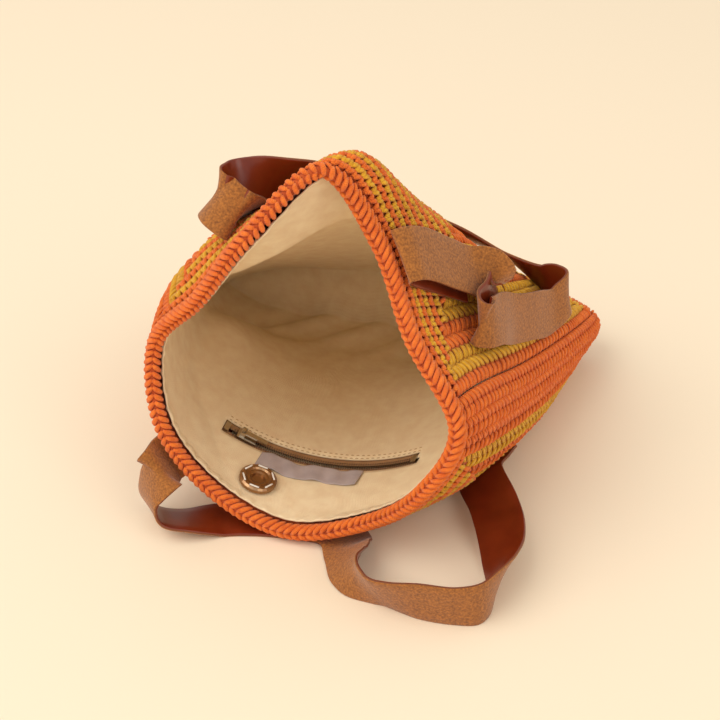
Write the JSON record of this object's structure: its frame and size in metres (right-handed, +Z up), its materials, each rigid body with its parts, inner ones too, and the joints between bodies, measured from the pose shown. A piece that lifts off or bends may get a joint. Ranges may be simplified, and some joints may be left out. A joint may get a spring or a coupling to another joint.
{
  "type": "crochet tote bag",
  "caption": "Small crochet tote bag lying open on its front, with mitred striped panels, linen lining with zip pocket and magnetic snap, and two leather handles.",
  "frame": {"origin": "on the flat belly of the front panel that the bag lies on, under the middle of the bag", "axes": "+Z up from the table, +Y from the mouth to the bottom of the bag, +X to the right as seen from the mouth"},
  "size_m": [0.246, 0.2593, 0.2044],
  "materials": {
    "crochet": "thick cotton yarn in orange, striped with yellow",
    "linen": "plain woven beige linen",
    "zip_tape": "woven tape with coil teeth",
    "zip_metal": "plated zinc",
    "snap_metal": "nickel plated",
    "label": "woven, blank",
    "leather": "suede outside, glossy inside"
  },
  "bodies": {
    "bag": {"back_panel": "crochet", "front_panel": "crochet", "gusset": "crochet", "rim_edging": "crochet", "lining": "linen", "zip_tape_rim_side": "zip_tape", "zip_tape_pocket_side": "zip_tape", "zip_stop_left": "zip_metal", "zip_stop_right": "zip_metal", "pocket_pouch": "linen", "snap_socket": "snap_metal", "snap_stud": "snap_metal", "socket_washer": "zip_metal", "stud_washer": "zip_metal", "label": "label", "front_handle": "leather", "back_handle": "leather"},
    "slider": {"zip_slider": "zip_metal"},
    "pull": {"zip_pull": "zip_metal"}
  },
  "joints": [
    {"name": "zip_travel", "type": "hinge", "parent": "bag", "child": "slider", "pos_m": [-0.006, -0.036, 0.1155], "axis": [0, -1, 0], "range_deg": [0, 46]},
    {"name": "pull_swing", "type": "hinge", "parent": "slider", "child": "pull", "pos_m": [-0.04982, -0.036, 0.02385], "axis": [0, -1, 0], "range_deg": [0, 120]}
  ]
}
